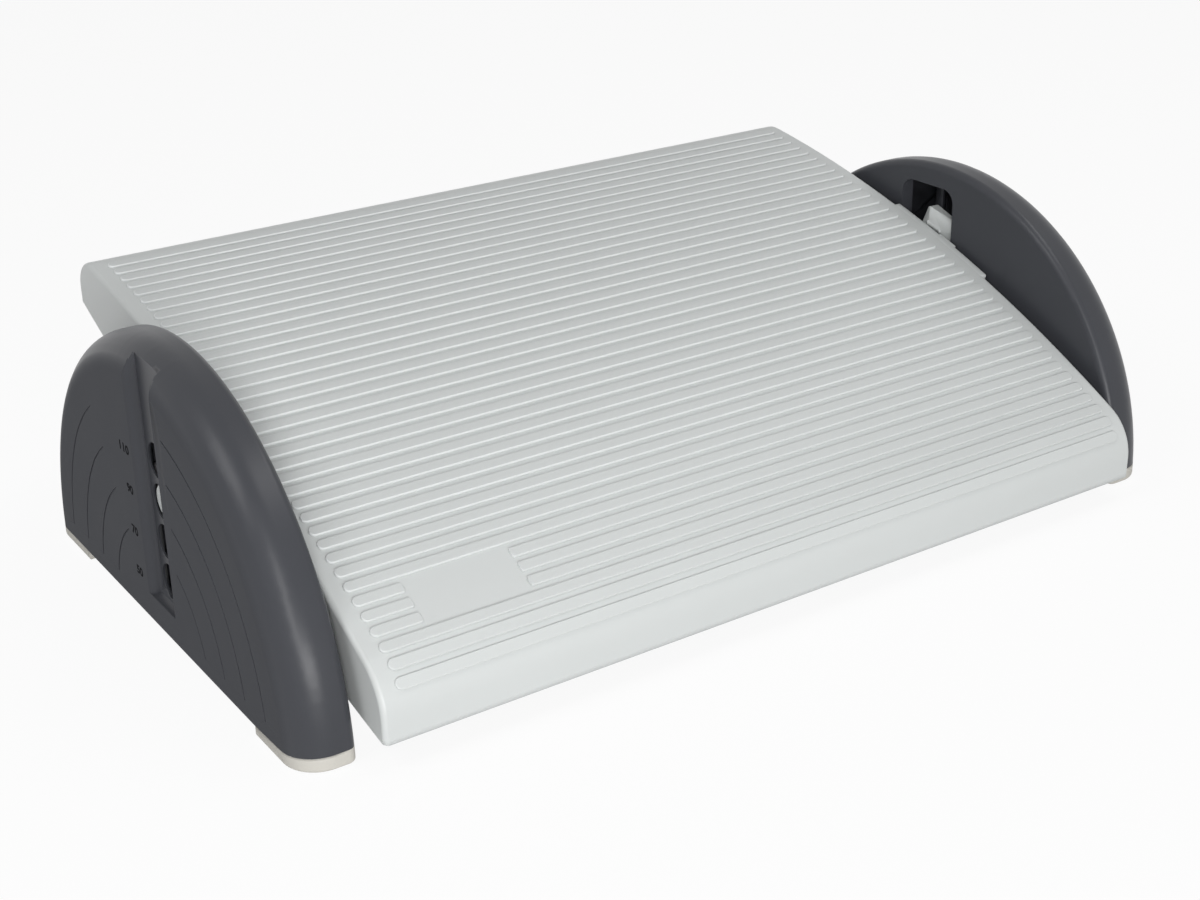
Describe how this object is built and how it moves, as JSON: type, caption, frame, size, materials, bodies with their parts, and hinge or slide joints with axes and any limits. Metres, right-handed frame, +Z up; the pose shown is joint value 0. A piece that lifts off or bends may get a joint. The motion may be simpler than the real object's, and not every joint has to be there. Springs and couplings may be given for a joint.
{
  "type": "footrest",
  "caption": "Tilting footrest: crowned ribbed tread plate on sprung lock pins between half-round side panels with stepped height holes and soft feet.",
  "frame": {"origin": "on the floor, midway between the side panels and between the front and rear edges of the plate", "axes": "+X to the user's right, -Y towards the user, +Z up"},
  "size_m": [0.499, 0.309, 0.1425],
  "materials": {
    "pale_moulding": "fine satin moulding, light cool grey",
    "dark_panel": "matt moulding, anthracite",
    "foot_pad": "soft matt, pale warm grey",
    "grey_moulding": "satin moulding, mid grey",
    "zinc_screw": "zinc plated",
    "spring_steel": "drawn spring wire"
  },
  "bodies": {
    "base": {"left_outer_shell": "dark_panel", "left_inner_cover": "dark_panel", "left_front_foot": "foot_pad", "left_rear_foot": "foot_pad", "left_cover_screws": "zinc_screw", "right_outer_shell": "dark_panel", "right_inner_cover": "dark_panel", "right_front_foot": "foot_pad", "right_rear_foot": "foot_pad", "right_cover_screws": "zinc_screw"},
    "carriage": {"left_guide_shoe": "grey_moulding", "right_guide_shoe": "grey_moulding"},
    "plate": {"foot_plate": "pale_moulding", "left_bearing_block": "grey_moulding", "left_bearing_screws": "zinc_screw", "left_spring_cap": "grey_moulding", "left_lock_spring": "spring_steel", "right_bearing_block": "grey_moulding", "right_bearing_screws": "zinc_screw", "right_spring_cap": "grey_moulding", "right_lock_spring": "spring_steel"},
    "left_lock": {"left_lock_pin": "pale_moulding", "left_release_lever": "pale_moulding"},
    "right_lock": {"right_lock_pin": "pale_moulding", "right_release_lever": "pale_moulding"}
  },
  "joints": [
    {"name": "height_slide", "type": "slide", "parent": "base", "child": "carriage", "axis": [0, 0, 1], "range_m": [-0.04, 0.02]},
    {"name": "plate_tilt", "type": "hinge", "parent": "carriage", "child": "plate", "pos_m": [0, -0.0015, 0.07], "axis": [1, 0, 0], "range_deg": [-19, 4]},
    {"name": "left_lock_slide", "type": "slide", "parent": "plate", "child": "left_lock", "axis": [-1, 0, 0], "range_m": [0, 0.003], "deforming": ["left_lock_spring"]},
    {"name": "right_lock_slide", "type": "slide", "parent": "plate", "child": "right_lock", "axis": [1, 0, 0], "range_m": [0, 0.003], "deforming": ["right_lock_spring"]}
  ]
}
